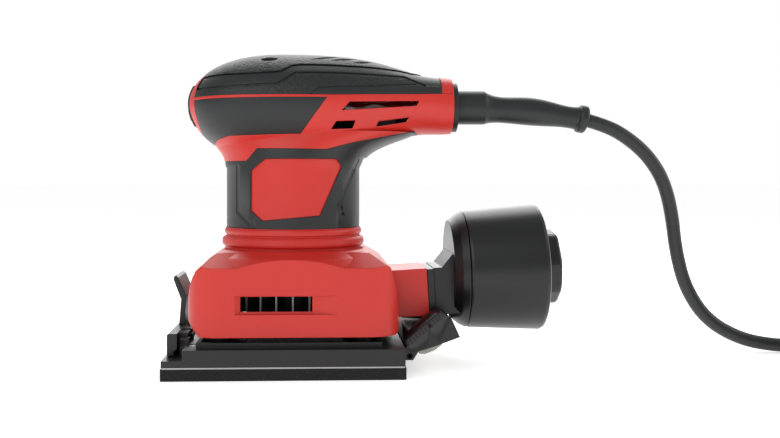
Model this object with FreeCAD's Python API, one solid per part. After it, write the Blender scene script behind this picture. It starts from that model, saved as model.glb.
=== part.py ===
import FreeCAD, Part
import math
import os
from FreeCAD import Vector

# Palm orbital sander with a quarter-sheet pad, a dust canister and a mains cord. Millimetres.
# +X runs from the nose to the cord, +Z is up, and the motor shaft is the Z axis.
# The origin is where the shaft axis meets the underside of the pad.

# ---- driving dimensions -------------------------------------------------------------------
padLength = 111.0            # along X
padWidth = 106.0             # along Y
padThick = 5.2
backingThick = 0.8
orbitRadius = 1.2            # eccentric throw: the pad's orbit is twice this across
padShift = -1.7              # middle of the pad's orbit, from the shaft axis
ledgeTop = 9.0               # front ledge where the paper is gripped
platenTop = 13.8
platenInset = 0.5            # platen edge inside the pad edge
ledgeDepth = 9.4
rimHeight = 2.2
dustHoleR = 3.0

skirtFront = -48.0           # base housing, X of the front wall
skirtBack = 50.4
skirtHalf = 48.0             # half width in Y
skirtBottom = 18.5
skirtCorner = 14.0
skirtWall = 2.6
roofEdge = 50.0              # the roof of the base housing slopes from here up to the neck
floorTop = 53.0              # level of the plate floor inside the base housing
floorThick = 2.4
neckTop = 66.6               # joint between base housing and motor housing
neckInner = 31.5

columnR = 34.0
columnTop = 96.0
wall = 3.2                   # wall of the motor housing and of the top cover
skinThick = 1.3              # soft grip layer over the housing
skinGap = 0.15
edgeGap = 0.06               # round the edge of the head grip
spigotWall = 2.4
spigotDepth = 9.0

headMid = 128.0              # widest level of the head
headNoseX = -10.0            # where the rounded nose begins
headNoseLength = 41.5
headRise = 24.8
headDrop = 28.5
headHalf = 38.0
tailMidX = 45.0              # behind this the widest level is midway between top and bottom
tailEnd = 79.5
tailRingStart = 73.6         # the soft grips end here
partingFront = 129.7         # parting line of the top cover, front end, middle and back end
partingMid = 130.4
partingBack = 132.7
stripe = 1.2                 # height of the rim that shows between the two grips

shaftR = 4.0
runGap = 0.05                # running clearance of a shaft or pin in its hole
fitGap = 0.2                 # clearance between parts that are pushed together
fanR = 37.5
fanBlades = 30
fanBottom = 27.0
fanTop = 40.0
armatureR = 12.8
airGap = 0.5
statorR = 23.0
statorBottom = 70.0
statorTop = 94.0
lowerBearingR = 9.5
upperBearingR = 8.0
bearingWidth = 6.0
bossCircle = 27.3            # circle of the four long screws
screwR = 1.25
postX = -28.0                # screw post of the top cover
postR = 4.0
holePlace = (-11.5, 20.0)    # screw holes in the top grip, X and half spacing
holeR = 2.2
bracketBottom = 112.4

rockerPivot = (-44.1, 126.8)
switchHalf = 9.0             # half width of the switch opening
switchDepth = 11.8           # back of the switch body, from the pivot
capacitorBase = 116.0
slotX = (-22.9, 9.9)         # exhaust slot in each side of the base housing
slotZ = (30.1, 37.0)
slotRecess = 2.1

bearingSeat = 8.9            # lower end of the eccentric bearing
retainerR = 6.5
legTop = 31.0
legR = 5.0
legReach = 33.0              # legs from the shaft axis, in X and in Y
pinR = 1.2
jawBack = 4.6                # thickness of the front jaw along X
jawTop = 19.5
leverHalf = 13.5
rearHalf = 40.0              # half width of the rear lever

portHalf = 18.0              # dust port, half width in Y
portHeight = 23.0
portTilt = 3.4               # degrees, rising to the back
portAxisX = 66.2             # a point on the tilted axis of the port
portAxisZ = 35.6
portWall = 2.4
spoutLength = 12.0
barrelTilt = 1.6             # the round body of the canister is tilted less than the port
barrelAxisZ = 44.7           # its axis, at portAxisX
bellStart = 17.6             # distances along the tilted axis, from the port's end
barrelStart = 19.5
barrelEnd = 58.2
barrelFrontR = 29.4
barrelBackR = 31.6
barrelWall = 2.2
filterR = 17.0
endCapR = 18.8
endCapLength = 8.2

bootAxisZ = 127.0
bootFlangeR = 12.4
bootCollarR = 8.5
cordR = 3.5
coilCentre = (292.0, -40.0)
coilMidR = 40.0
plugTurn = 6.0               # back of the plug, this much before the coil's far side
coilRows = 3                 # turns side by side, and layers
plugSize = (34.0, 24.0, 16.0)
bladeSize = (17.5, 6.35, 1.5)
bladeSpacing = 12.7

# Points of the cord from the strain relief down to the floor and into the coil.
cordRoute = [
    (149.7, 0.0, 120.85), (160.5, 0.2, 117.9), (171.5, 0.8, 111.6), (182.0, 2.2, 103.0),
    (191.0, 4.5, 90.5), (196.5, 7.5, 73.5), (199.5, 10.0, 53.5), (205.5, 12.2, 33.5),
    (217.0, 12.6, 16.5), (234.0, 11.0, 6.8), (250.5, 9.2, 3.7), (266.0, 8.2, 3.5),
    (281.0, 7.5, 3.5)]


# ---- small helpers ------------------------------------------------------------------------
def box(x0, x1, y0, y1, z0, z1):
    return Part.makeBox(x1 - x0, y1 - y0, z1 - z0, Vector(x0, y0, z0))


def rod(radius, z0, z1, x=0.0, y=0.0):
    return Part.makeCylinder(radius, z1 - z0, Vector(x, y, z0))


def ring(outer, inner, z0, z1, x=0.0, y=0.0):
    return rod(outer, z0, z1, x, y).cut(rod(inner, z0 - 1, z1 + 1, x, y))


def rodY(radius, y0, y1, x, z):
    return Part.makeCylinder(radius, y1 - y0, Vector(x, y0, z), Vector(0, 1, 0))


def rodX(radius, x0, x1, y, z):
    return Part.makeCylinder(radius, x1 - x0, Vector(x0, y, z), Vector(1, 0, 0))


def plateXZ(points, half, grow=0.0):
    """A side-view outline, as wide as twice half, and larger all round by grow."""
    corners = [Vector(x, -half, z) for x, z in points]
    face = Part.Face(Part.makePolygon(corners + corners[:1]))
    if grow:
        face = Part.Face(face.makeOffset2D(grow, 2).Wires[0])
    return face.extrude(Vector(0, 2 * half, 0))


def turned(points, x=0.0, y=0.0):
    """A closed (radius, height) outline turned about the vertical line through x, y."""
    corners = [Vector(x + r, y, z) for r, z in points]
    face = Part.Face(Part.makePolygon(corners + corners[:1]))
    return face.revolve(Vector(x, y, 0), Vector(0, 0, 1), 360)


def fuse(shapes):
    shapes = list(shapes)
    return shapes[0].multiFuse(shapes[1:]).removeSplitter() if len(shapes) > 1 else shapes[0]


def roundedBox(x0, x1, y0, y1, z0, z1, radius):
    block = box(x0, x1, y0, y1, z0, z1)
    upright = [e for e in block.Edges if abs(e.tangentAt(e.FirstParameter).z) > 0.9]
    return block.makeFillet(radius, upright)


def mirrored(shape):
    return shape.mirror(Vector(0, 0, 0), Vector(0, 1, 0))


def bothSides(shape):
    return Part.makeCompound([shape, mirrored(shape)])


def aroundAxis(shape, count, start=0.0):
    copies = []
    for i in range(count):
        copy = shape.copy()
        copy.rotate(Vector(0, 0, 0), Vector(0, 0, 1), start + i * 360.0 / count)
        copies.append(copy)
    return copies


def tilted(shape):
    """Lay a shape made along +Z, from Z = 0, on the tilted axis of the port, pointing back."""
    shape.rotate(Vector(0, 0, 0), Vector(0, 1, 0), 90 - portTilt)
    shape.translate(Vector(portAxisX, 0, portAxisZ))
    return shape


# ---- outer form of the head and the column --------------------------------------------------
def halfOval(x, mid, rise, half):
    """Half of an ellipse in the plane at x, from +half over or under the middle to -half."""
    centre = Vector(x, 0, mid)
    side = Vector(x, half, mid)
    end = Vector(x, 0, mid + rise)
    curve = Part.Ellipse(side, end, centre) if half >= abs(rise) else Part.Ellipse(end, side, centre)
    first = curve.parameter(side)
    last = curve.parameter(Vector(x, -half, mid))
    arc = Part.ArcOfEllipse(curve, first, last)
    halfway = arc.value(0.5 * (arc.FirstParameter + arc.LastParameter))
    if (halfway.z - mid) * rise < 0:
        arc = Part.ArcOfEllipse(curve, last, first)
    return arc.toShape()


def headStations(off):
    """(x, top, bottom, half width) from nose to tail; off moves the surface inward."""
    stations = []
    for degrees in (82, 72, 60, 46, 30, 14):
        reach = math.sin(math.radians(degrees))
        side = (1 - reach ** 2.05) ** (1 / 2.05)
        plan = (1 - reach ** 2.5) ** (1 / 2.5)
        x = headNoseX - (headNoseLength - off) * reach
        stations.append((x, headMid + (headRise - off) * side,
                         headMid - (headDrop - off) * side, (headHalf - off) * plan))
    full = [(2.0, headRise + 0.3, headDrop, headHalf - 0.2), (20.0, 24.5, 27.5, 35.2),
            (37.0, 22.5, 24.5, 29.6), (52.0, 18.7, 18.0, 23.6), (64.0, 15.5, 14.9, 19.2),
            (tailRingStart, 14.2, 14.7, 16.8), (tailEnd, 13.6, 14.4, 15.8)]
    for x, rise, drop, half in full:
        stations.append((x, headMid + rise - off, headMid - drop + off, half - off))
    return stations


def headForm(off):
    wires = []
    for x, top, bottom, half in headStations(off):
        mid = 0.5 * (top + bottom) if x > tailMidX else headMid
        wires.append(Part.Wire([halfOval(x, mid, top - mid, half), halfOval(x, mid, bottom - mid, half)]))
    return Part.makeLoft(wires, True, False)


columnFlare = [(columnTop, 0, columnR, columnR), (101.0, 0.9, 35.6, 33.9), (105.5, 2.6, 40.0, 33.3),
               (109.5, 5.6, 46.5, 32.2), (114.0, 9.0, 54.0, 30.5)]


def columnForm(off):
    """Round column that flares out under the head."""
    wires = []
    for z, shift, along, across in columnFlare:
        centre = Vector(shift, 0, z)
        curve = Part.Circle(centre, Vector(0, 0, 1), along - off)
        if along > across:
            curve = Part.Ellipse(centre + Vector(along - off, 0, 0), centre + Vector(0, across - off, 0), centre)
        wires.append(Part.Wire(curve.toShape()))
    return Part.makeLoft(wires, True, False)


def bodyForm(off):
    return headForm(off).fuse(columnForm(off)).fuse(rod(columnR - off, neckTop, columnTop))


def abovePart(lift=0.0):
    """Everything above the parting line of the top cover, raised by lift."""
    line = [(-90, partingFront + lift), (20, partingMid + lift), (tailRingStart, partingBack + lift),
            (tailEnd + 20, partingBack + lift), (tailEnd + 20, 200), (-90, 200)]
    return plateXZ(line, 90)


headGripOutline = [(-46.9, partingFront - stripe), (16.7, partingMid - stripe), (4.3, 112.3),
                   (-30.0, 111.4), (-36.0, 109.8), (-40.0, 106.5), (-45.2, 108.0), (-44.6, 114.6),
                   (-46.4, 122.6)]
topGripOutline = [(-47.0, partingFront + 0.1), (-45.6, 135.8), (-42.9, 141.3), (-40.0, 146.3),
                  (-34.0, 160.0), (tailRingStart, 160.0), (tailRingStart, partingBack + 0.1),
                  (20.0, partingMid + 0.1)]
columnGripOutline = [(-60.0, 99.4), (-21.6, 99.5), (-16.4, 105.4), (16.6, 105.0), (30.0, 108.6),
                     (60.5, 114.6), (63.5, 112.4), (63.5, 90.0), (50.0, neckTop + 0.4),
                     (-60.0, neckTop + 0.4)]
badgeOutline = [(-19.3, 94.8), (-12.4, 100.4), (21.4, 100.4), (23.8, 96.7), (13.4, 73.4),
                (-13.8, 71.0), (-19.4, 75.7)]
ventOutlines = [[(27.4, 127.4), (61.8, 128.9), (60.4, 126.4), (23.8, 123.2)],
                [(21.1, 118.2), (30.3, 118.7), (28.9, 114.9), (18.7, 114.4)],
                [(41.5, 118.6), (57.0, 120.9), (55.5, 118.6), (40.4, 116.0)]]


def switchOpening():
    x, z = rockerPivot
    return box(x - 14, x + 1.4, -switchHalf, switchHalf, z - 10.2, z + 10.2)


# ---- housings and grips ---------------------------------------------------------------------
def cavity():
    inside = headForm(wall).fuse(columnForm(wall)).fuse(rod(columnR - wall, neckTop - 1, columnTop))
    return inside.common(box(-80, tailEnd - wall, -60, 60, 0, 170))


def motorHousing(full, inset, hollow):
    zones = [plateXZ(headGripOutline, 60, edgeGap), plateXZ(columnGripOutline, 60)]
    skins = full.cut(inset)
    body = full.cut(abovePart())
    for zone in zones:
        body = body.cut(skins.common(zone))
    body = body.cut(hollow)
    body = body.cut(switchOpening())
    for outline in ventOutlines:
        body = body.cut(plateXZ(outline, 60))
    spigotR = neckInner - fitGap
    body = body.fuse(ring(spigotR, spigotR - spigotWall, neckTop - spigotDepth, neckTop + 3))
    ribTop = bracketBottom
    rib = box(statorR + 0.15, columnR - wall + 0.6, -1.6, 1.6, statorBottom, statorTop)
    tall = box(statorR + 0.15, columnR - wall + 0.6, -5.0, 5.0, statorTop, ribTop)
    ribs = aroundAxis(rib, 4)
    ribs += aroundAxis(tall, 2, 90)
    boss = rod(3.3, neckTop - spigotDepth, statorBottom - 1, bossCircle)
    ribs += aroundAxis(boss, 4, 45)
    x = rockerPivot[0]
    cradles = [box(x + 0.9, x + 10.4, -40, 40, 116.0, rockerPivot[1] - 8.5),
               box(35.0, 37.0, -7, 7, 100, capacitorBase), box(48.0, 50.0, -7, 7, 100, capacitorBase),
               box(67.0, 72.0, -9, 9, 105, bootAxisZ - 6.7)]
    within = bodyForm(wall - 1.0)
    ribs = [r.common(within) for r in ribs + cradles]
    body = fuse([body] + ribs)
    drill = rod(screwR + fitGap, neckTop - spigotDepth - 1, statorBottom - 3, bossCircle)
    for hole in aroundAxis(drill, 4, 45):
        body = body.cut(hole)
    post = rod(postR, 84.0, 131.0, postX).cut(abovePart())
    body = body.fuse(post).cut(rod(screwR + fitGap, 112.0, 135.0, postX))
    return body.cut(rodX(bootCollarR + fitGap, tailEnd - 8, tailEnd + 2, 0, bootAxisZ))


def topCover(inset, hollow):
    head = headForm(0.0).common(abovePart(skinGap))
    skins = head.cut(inset).common(plateXZ(topGripOutline, 60))
    body = head.cut(skins).cut(hollow).cut(switchOpening())
    post = rod(postR, 120.0, 152.0, postX).common(headForm(2.0)).common(abovePart(skinGap))
    body = body.fuse(post)
    body = body.cut(rod(screwR + fitGap, 120.0, 160.0, postX)).cut(rod(3.0, 145.5, 160.0, postX))
    return body.cut(rodX(bootCollarR + fitGap, tailEnd - 8, tailEnd + 2, 0, bootAxisZ))


def topGrip(skin):
    piece = headForm(0.0).common(abovePart(skinGap)).cut(skin).common(plateXZ(topGripOutline, 60))
    x, y = holePlace
    for side in (-1, 1):
        piece = piece.cut(rod(holeR, 120.0, 160.0, x, side * y))
    return piece.cut(rod(3.0, 120.0, 160.0, postX))


def skirtForm(off):
    """Rounded block with sloping front and back, under a roof that arches up round the neck."""
    bottom = skirtBottom - (1 if off else 0)
    block = roundedBox(skirtFront + off, skirtBack - off, -skirtHalf + off, skirtHalf - off,
                       bottom, 62, skirtCorner - off)
    side = [(-33.0, 56.8), (-37.6, 54.4), (-40.2, 51.8), (-43.4, 48.8), (-45.2, 45.5), (-46.6, 41.5),
            (skirtFront, 34.0), (skirtFront, 25.6), (-41.8, skirtBottom), (-41.8, 0), (48.6, 0),
            (48.6, skirtBottom), (skirtBack, 20.4), (skirtBack, 30.0), (49.6, 38.0), (47.2, 46.4),
            (46.0, 50.0), (35.5, 56.8)]
    block = block.common(plateXZ([(x, z - off) if z > 30 else (x, z) for x, z in side], 60)
                         if off else plateXZ(side, 60))
    cone = turned([(0, 0), (80, 0), (80, 26.0 - off), (53.0, 50.6 - off), (48.0, 53.9 - 1.2 * off),
                   (40.0, 56.6 - off), (33.0, 57.6 - off), (0, 57.6 - off)])
    slopes = [(-skirtHalf - 5, 0), (-skirtHalf - 5, roofEdge - 2 - off), (-skirtHalf, roofEdge - off),
              (-33.0, 56.0 - off), (33.0, 56.0 - off), (skirtHalf, roofEdge - off),
              (skirtHalf + 5, roofEdge - 2 - off), (skirtHalf + 5, 0)]
    corners = [Vector(-60, y, z) for y, z in slopes]
    roof = Part.Face(Part.makePolygon(corners + corners[:1])).extrude(Vector(120, 0, 0))
    return block.common(cone.fuse(roof))


def neckForm():
    outline = [(neckInner, 50), (34.2, 50), (34.2, 57.4), (34.4, 57.9), (35.4, 58.4), (35.7, 59.4),
               (35.5, 61.6), (34.6, 62.6), (33.5, 62.8), (33.5, 63.4), (34.2, 63.8), (34.4, 65.2),
               (34.2, neckTop - 0.4), (33.8, neckTop), (neckInner, neckTop)]
    return turned(outline)


def portBlock(half, height, start, end):
    return tilted(box(-0.5 * height, 0.5 * height, -half, half, start, end))


def slotCut(side):
    """Exhaust slot with a shallow recess round it that runs out to the back."""
    low, high = sorted((side * 40.0, side * 60.0))
    hole = box(slotX[0], slotX[1], low, high, slotZ[0], slotZ[1])
    wallY = skirtHalf - slotRecess
    ramp = [(slotX[0] - 2.6, 60), (slotX[0] - 2.6, skirtHalf), (slotX[0], wallY), (slotX[1], wallY),
            (slotX[1] + 11.6, skirtHalf), (slotX[1] + 11.6, 60)]
    corners = [Vector(x, side * y, slotZ[0] - 1.1) for x, y in ramp]
    recess = Part.Face(Part.makePolygon(corners + corners[:1]))
    return hole.fuse(recess.extrude(Vector(0, 0, slotZ[1] - slotZ[0] + 1.6)))


def baseHousing():
    floor = floorTop - floorThick
    shell = skirtForm(0.0).cut(skirtForm(skirtWall))
    shell = shell.cut(rod(neckInner, 40, 70))
    shell = shell.fuse(neckForm()).fuse(ring(neckInner + 0.5, 24.0, floor, floorTop))
    port = portBlock(portHalf, portHeight, -24.0, 0.0).cut(skirtForm(skirtWall))
    spout = portBlock(portHalf - portWall, portHeight - 2 * portWall, -24.0, spoutLength)
    bosses = [rod(legR + 2, legTop, floorTop - 1, x, y) for x, y in legPlaces()]
    bosses = [b.common(skirtForm(1.0)) for b in bosses]
    shell = fuse([shell, port, spout.cut(skirtForm(skirtWall))] + bosses)
    duct = portBlock(portHalf - 2 * portWall, portHeight - 4 * portWall, -32.0, spoutLength + 5)
    shell = shell.cut(duct)
    for side in (-1, 1):
        shell = shell.cut(slotCut(side))
    drill = rod(screwR + fitGap, floor - 1, floorTop + 1, bossCircle)
    for hole in aroundAxis(drill, 4, 45):
        shell = shell.cut(hole)
    return shell


# ---- motor ------------------------------------------------------------------------------------
def bearingPlate():
    plate = rod(neckInner - fitGap, floorTop, neckTop - spigotDepth)
    plate = plate.fuse(rod(lowerBearingR + 3, floorTop - floorThick, neckTop - spigotDepth))
    plate = plate.cut(rod(lowerBearingR + 0.02, floorTop - 1, 59.0)).cut(rod(shaftR + 2, 40, 60))
    window = ring(23.0, 14.5, 50, 60).common(box(0, 40, -7, 7, 50, 60))
    for cut in aroundAxis(window, 4):
        plate = plate.cut(cut)
    drill = rod(screwR + fitGap, 50, 60, bossCircle)
    for hole in aroundAxis(drill, 4, 45):
        plate = plate.cut(hole)
    return plate


def longScrews():
    floor = floorTop - floorThick
    screw = rod(screwR, floor, statorBottom - 3.5, bossCircle)
    screw = screw.fuse(rod(2.4, floor - 1.8, floor, bossCircle))
    return Part.makeCompound(aroundAxis(screw, 4, 45))


def ballBearing(outer, inner, z0, x=0.0):
    return ring(outer, inner, z0, z0 + bearingWidth, x)


def statorCore():
    core = ring(statorR, 18.0, statorBottom, statorTop)
    pole = box(armatureR + airGap - 1, 19.0, -4.8, 4.8, statorBottom, statorTop)
    shoe = ring(15.2, armatureR + airGap, statorBottom, statorTop)
    shoe = shoe.common(box(0, 40, -8.5, 8.5, 0, 200))
    pole = pole.fuse(shoe).cut(rod(armatureR + airGap, 60, 100))
    return fuse([core] + aroundAxis(pole, 2))


def fieldCoils():
    coil = box(15.4, 17.6, -8.0, 8.0, statorBottom - 5, statorTop + 5)
    coil = coil.common(rod(17.9, 0, 200))
    coil = coil.cut(box(10, 20, -4.9, 4.9, statorBottom - 0.1, statorTop + 0.1))
    return Part.makeCompound(aroundAxis(coil, 2))


def armatureCore():
    core = ring(armatureR, shaftR, statorBottom + 1, statorTop - 1)
    slot = box(8.6, 20, -1.3, 1.3, 60, 110)
    for cut in aroundAxis(slot, 8):
        core = core.cut(cut)
    return core


def armatureWindings():
    slot = box(8.8, armatureR - 0.4, -1.15, 1.15, statorBottom + 1, statorTop - 1)
    ends = [turned([(shaftR, z0), (11.6, z0), (11.6, z1), (shaftR, z1)])
            for z0, z1 in ((statorBottom - 4, statorBottom + 1), (statorTop - 1, statorTop + 4))]
    return fuse(ends + aroundAxis(slot, 8))


def commutator():
    drum = ring(8.0, shaftR, 101.0, 110.0)
    saw = box(7.2, 9, -0.25, 0.25, 100.5, 110.5)
    for cut in aroundAxis(saw, 16):
        drum = drum.cut(cut)
    return drum


def brushHolders():
    block = box(-4.5, 4.5, 9.3, statorR - 0.4, 101.2, bracketBottom)
    return bothSides(block.cut(box(-3.0, 3.0, 8, 21.6, 102.4, 108.6)))


def brushes():
    block = box(-2.9, 2.9, 7.0, 15.5, 102.5, 108.5).cut(rod(8.15, 100, 112))
    return bothSides(block)


def brushSprings():
    coil = rodY(2.3, 15.6, 21.5, 0, 105.5).cut(rodY(1.6, 15, 22, 0, 105.5))
    return bothSides(coil)


def upperBracket():
    bar = box(-9.5, 9.5, -29.0, 29.0, bracketBottom, 120.4).common(rod(29.6, 100, 130))
    bar = bar.common(headForm(wall + fitGap))
    bar = bar.cut(rod(upperBearingR + 0.02, bracketBottom + 1.6, 119.4 + 5))
    return bar.cut(rod(shaftR + 2.2, 100, 130))


def shaft():
    upper = rod(shaftR, 26.0, bracketBottom + 1.6 + bearingWidth)
    return upper


def fan():
    hub = ring(9.0, shaftR, fanBottom + 2, fanTop)
    disc = ring(fanR, shaftR, fanTop - 1.8, fanTop)
    blade = box(22.0, fanR, -0.6, 0.6, fanBottom, fanTop - 1.5)
    return fuse([hub, disc] + aroundAxis(blade, fanBlades, 1.2))


def eccentric():
    weight = rod(21.0, 18.8, 26.0).common(box(-6, 40, -40, 40, 0, 60))
    hub = rod(8.0, 18.8, 28.8)
    pin = rod(shaftR, padStart() + 3.2, 18.8, -orbitRadius)
    body = fuse([weight, hub, pin])
    body = body.cut(rod(shaftR, 25.9, 40.0))
    return body.cut(rod(1.5, padStart(), 16.0, -orbitRadius))


# ---- pad and platen ---------------------------------------------------------------------------
def padStart():
    """Height of the underside of the platen."""
    return padThick + backingThick


def padCentre():
    return padShift - orbitRadius


def padEdges(inset=0.0):
    return (padCentre() - 0.5 * padLength + inset, padCentre() + 0.5 * padLength - inset,
            -0.5 * padWidth + inset, 0.5 * padWidth - inset)


def dustHoles(z0, z1):
    places = [(x, y) for x in (-36, -12, 12, 36) for y in (-30, 30)]
    return [rod(dustHoleR, z0, z1, padCentre() + x, y) for x, y in places]


def padLayer(z0, z1, inset):
    x0, x1, y0, y1 = padEdges(inset)
    layer = roundedBox(x0, x1, y0, y1, z0, z1, 1.2)
    return layer.cut(Part.makeCompound(dustHoles(z0 - 1, z1 + 1)))


def legPlaces():
    return [(x, y) for x in (-legReach, legReach) for y in (-legReach, legReach)]


def screwPlaces():
    return [(padCentre() + x, y) for x in (-42.7, 44) for y in (-38, 0, 38)]


def platen():
    x0, x1, y0, y1 = padEdges(platenInset)
    front = x0 + ledgeDepth
    body = box(x0, x1, y0, y1, padStart(), ledgeTop).fuse(box(front, x1, y0, y1, ledgeTop, platenTop))
    body = body.fuse(box(front + 5.4, x1 - 10, y0 + 6.5, y1 - 6.5, platenTop, platenTop + rimHeight))
    body = body.cut(box(front + 7.4, x1 - 12, y0 + 9, y1 - 9, padStart() + 3.0, platenTop + 5))
    stays = [box(front + 7, x1 - 11, y - 1.2, y + 1.2, padStart() + 2, 12.5) for y in (-20, 20)]
    stays += [box(x - 1.2, x + 1.2, y0 + 8, y1 - 8, padStart() + 2, 12.5) for x in (-24, 18)]
    stays += [rod(legR + 2, padStart() + 2, platenTop, x - orbitRadius, y) for x, y in legPlaces()]
    boss = rod(14.5, padStart(), 18.0, -orbitRadius)
    ears = []
    for side in (-1, 1):
        for y in (20.5, 34.0):
            low, high = sorted((side * (y - 1.8), side * (y + 1.8)))
            ears.append(box(frontPivot()[0] - 1.4, front + 1, low, high, ledgeTop - 1, 16.6))
        low, high = sorted((side * 28.0, side * 32.0))
        ears.append(box(x1 - 1, rearPivot()[0] + 2.2, low, high, padStart() + 0.2, 10.4))
    body = fuse([body] + stays + [boss] + ears)
    body = body.cut(rod(lowerBearingR + 1.5 + 0.02, bearingSeat, 30.0, -orbitRadius))
    body = body.cut(rod(retainerR + 0.5, 0, 20, -orbitRadius))
    body = body.cut(rodY(pinR, -60, 60, *frontPivot())).cut(rodY(pinR, -60, 60, *rearPivot()))
    for x, y in screwPlaces():
        body = body.cut(rod(screwR + fitGap, 0, 20, x, y)).cut(rod(2.4, platenTop - 2.2, 20, x, y))
    return body.cut(Part.makeCompound(dustHoles(0, 20)))


def backingPlate():
    plate = padLayer(padThick, padStart(), platenInset)
    for x, y in screwPlaces():
        plate = plate.cut(rod(screwR + fitGap, 0, 20, x, y))
    return plate


def backingScrews():
    screws = []
    for x, y in screwPlaces():
        screw = rod(screwR, padThick + 0.1, platenTop - 2.2, x, y)
        screws.append(screw.fuse(rod(2.2, platenTop - 2.2, platenTop - 0.3, x, y)))
    return Part.makeCompound(screws)


def bearingRetainer():
    pin = -orbitRadius
    screw = rod(1.45, padStart() + 1.4, 15.0, pin).fuse(rod(3.0, padStart() + 0.2, padStart() + 2.0, pin))
    return screw.fuse(rod(retainerR, padStart() + 2.0, bearingSeat, pin))


def legs():
    return Part.makeCompound([rod(legR, platenTop + 0.3, legTop, x, y) for x, y in legPlaces()])


def dustSeals():
    """Foam strips along the inside of the skirt, which brush the platen's rim."""
    low = platenTop + rimHeight + 0.3
    inner = skirtHalf - skirtWall - 0.3
    side = box(-20.0, 24.0, inner - 2.4, inner, low, skirtBottom + 6)
    back = skirtBack - skirtWall - 0.3
    rear = box(back - 2.4, back, -20.0, 20.0, low, skirtBottom + 3)
    return Part.makeCompound([side, mirrored(side), rear])


# ---- paper clamps -----------------------------------------------------------------------------
def frontPivot():
    return padEdges(platenInset)[0] + ledgeDepth - 2.0, 14.4


def rearPivot():
    return padEdges(platenInset)[1] + 3.0, 8.4


def frontJaw():
    x0 = padEdges(platenInset)[0] + 0.9
    px, pz = frontPivot()
    outline = [(x0, ledgeTop + 0.3), (x0, jawTop - 0.6), (x0 + 0.8, jawTop), (x0 + jawBack, jawTop),
               (x0 + jawBack, 12.6), (x0 + jawBack - 1.6, 11.2), (x0 + jawBack - 1.2, ledgeTop + 0.3)]
    bar = plateXZ(outline, 41.0)
    lugs = []
    for side in (-1, 1):
        for a, b in ((13.0, 18.3), (22.7, 31.8)):
            low, high = sorted((side * a, side * b))
            lugs.append(box(x0 + jawBack - 0.5, px + 1.9, low, high, 12.4, jawTop - 1))
    return fuse([bar] + lugs).cut(rodY(pinR + runGap, -60, 60, px, pz))


def frontLever():
    x0 = padEdges(platenInset)[0] + 0.9
    outline = [(x0 + 1.6, jawTop), (x0 + 2.6, 32.0), (x0 - 1.1, 41.6), (x0 - 0.9, 43.2), (x0 + 0.2, 43.6),
               (x0 + 1.2, 42.6), (x0 + 5.2, 33.4), (x0 + 4.6, 26.0), (x0 + jawBack, jawTop)]
    return plateXZ(outline, leverHalf)


def rearLever():
    px, pz = rearPivot()
    x0 = px - 2.4
    outline = [(x0, 14.2), (x0 + 11.8, 25.2), (x0 + 17.8, 28.6), (x0 + 22.2, 25.4), (x0 + 26.0, 17.0),
               (x0 + 16.8, 13.7), (x0 + 11.2, 11.8), (x0 + 6.6, 10.4), (px + 1.6, 6.4), (px - 1.8, 6.4),
               (x0, 10.0)]
    lever = plateXZ(outline, rearHalf)
    # Middle notch that clears the dust port and the canister's neck through the whole travel.
    lever = lever.cut(box(x0 - 5, x0 + 40, -portHalf - 3, portHalf + 3, 17.6, 60))
    for side in (-1, 1):
        low, high = sorted((side * 27.5, side * 32.5))
        lever = lever.cut(box(x0 - 5, px + 3.0, low, high, 0, 12.4))
    return lever.cut(rodY(pinR + runGap, -60, 60, px, pz))


def rearPad():
    px, pz = rearPivot()
    x0 = px - 2.4
    outline = [(x0 + 6.9, 10.4), (x0 + 11.2, 11.7), (x0 + 16.8, 13.6), (x0 + 19.0, 14.35),
               (x0 + 18.2, 12.4), (x0 + 14.8, 9.9), (x0 + 10.4, 8.2), (x0 + 7.6, 8.3)]
    return plateXZ(outline, 34.0)


def clampPins():
    front = rodY(pinR - 0.01, -35.6, 35.6, *frontPivot())
    rear = rodY(pinR - 0.01, -35.6, 35.6, *rearPivot())
    return Part.makeCompound([front, rear])


def clampSprings():
    springs = []
    for side in (-1, 1):
        low, high = sorted((side * 4.0, side * 12.0))
        px, pz = frontPivot()
        springs.append(rodY(1.8, low, high, px, pz).cut(rodY(1.25, -60, 60, px, pz)))
    return Part.makeCompound(springs)


# ---- dust canister ----------------------------------------------------------------------------
def roundOnAxis(points):
    """A (radius, distance) outline turned about the canister's own axis."""
    shape = turned(points)
    shape.rotate(Vector(0, 0, 0), Vector(0, 1, 0), 90 - barrelTilt)
    shape.translate(Vector(portAxisX, 0, barrelAxisZ))
    return shape


def canisterNeck():
    start = 0.3
    collar = 3.2
    square = portBlock(portHalf, portHeight, start + collar, bellStart + 2.0)
    square = square.fuse(portBlock(portHalf - 0.5, portHeight - 1.0, start, start + collar + 0.1))
    fillZ = 0.5 * portHeight
    ramp = Part.makePolygon([Vector(-fillZ + 1, 0, 7.6), Vector(-fillZ, 0, 7.6),
                             Vector(-fillZ - 9.0, 0, 15.6), Vector(-fillZ - 9.0, 0, bellStart + 2),
                             Vector(-fillZ + 1, 0, bellStart + 2), Vector(-fillZ + 1, 0, 7.6)])
    ramp = Part.Face(ramp).extrude(Vector(0, 2 * portHalf, 0))
    ramp.translate(Vector(0, -portHalf, 0))
    bell = roundOnAxis([(0, bellStart - 5.0), (24.6, bellStart - 5.0), (27.6, bellStart - 1.4),
                        (barrelFrontR - 0.2, barrelStart - 0.2), (barrelFrontR - 0.2, barrelStart),
                        (barrelFrontR - barrelWall - 0.3, barrelStart),
                        (barrelFrontR - barrelWall - 0.3, barrelStart + 6.0), (0, barrelStart + 6.0)])
    body = fuse([square, tilted(ramp), bell])
    socket = portBlock(portHalf - portWall + fitGap, portHeight - 2 * portWall + 2 * fitGap,
                       -1.0, spoutLength + 0.5)
    duct = portBlock(portHalf - 2 * portWall, portHeight - 4 * portWall, 0.0, barrelStart + 8)
    return body.cut(socket).cut(duct)


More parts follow.
